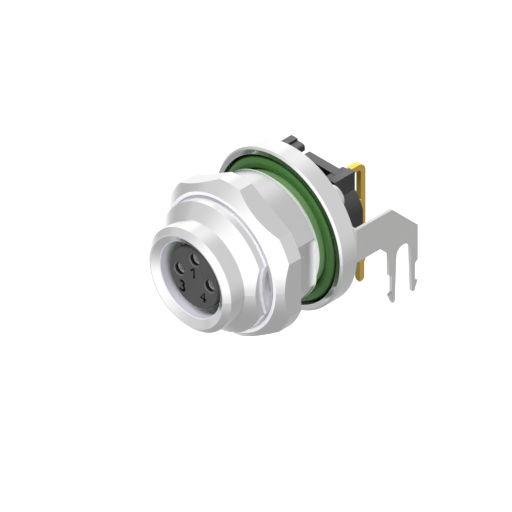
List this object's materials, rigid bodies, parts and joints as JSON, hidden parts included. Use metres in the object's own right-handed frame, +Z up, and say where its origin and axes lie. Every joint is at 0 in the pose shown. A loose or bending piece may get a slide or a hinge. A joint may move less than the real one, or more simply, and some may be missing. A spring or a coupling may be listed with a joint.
{
  "type": "circular sensor pcb connector",
  "caption": "Round threaded panel socket with hexagon nut, seal and flange, and right-angle board tails beside a folded shield with snap-in legs.",
  "frame": {"origin": "on the mating axis, in the front face of the flange, where the panel seats", "axes": "Y is the mating axis with the mating side at -Y; +Z is up, away from the circuit board; +X is to the right seen from the mating side"},
  "size_m": [0.015, 0.0209, 0.0157],
  "materials": {
    "nickel": "satin nickel plating on turned brass",
    "green_seal": "smooth green fluorinated rubber",
    "insert_black": "moulded matte plastic",
    "carrier_black": "moulded matte plastic",
    "gold": "gold plating, smooth",
    "shield_tin": "matte tinned sheet"
  },
  "bodies": {
    "connector": {"housing": "nickel", "panel_seal": "green_seal", "face_seal": "green_seal", "contact_insert": "insert_black", "rear_carrier": "carrier_black", "contact_1": "gold", "contact_3": "gold", "contact_4": "gold", "shield_sheet": "shield_tin"},
    "nut": {"hex_nut": "nickel"}
  },
  "joints": [
    {"name": "nut_spin", "type": "hinge", "parent": "connector", "child": "nut", "pos_m": [0, -0.00548, 0], "axis": [0, 1, 0], "continuous": true}
  ]
}
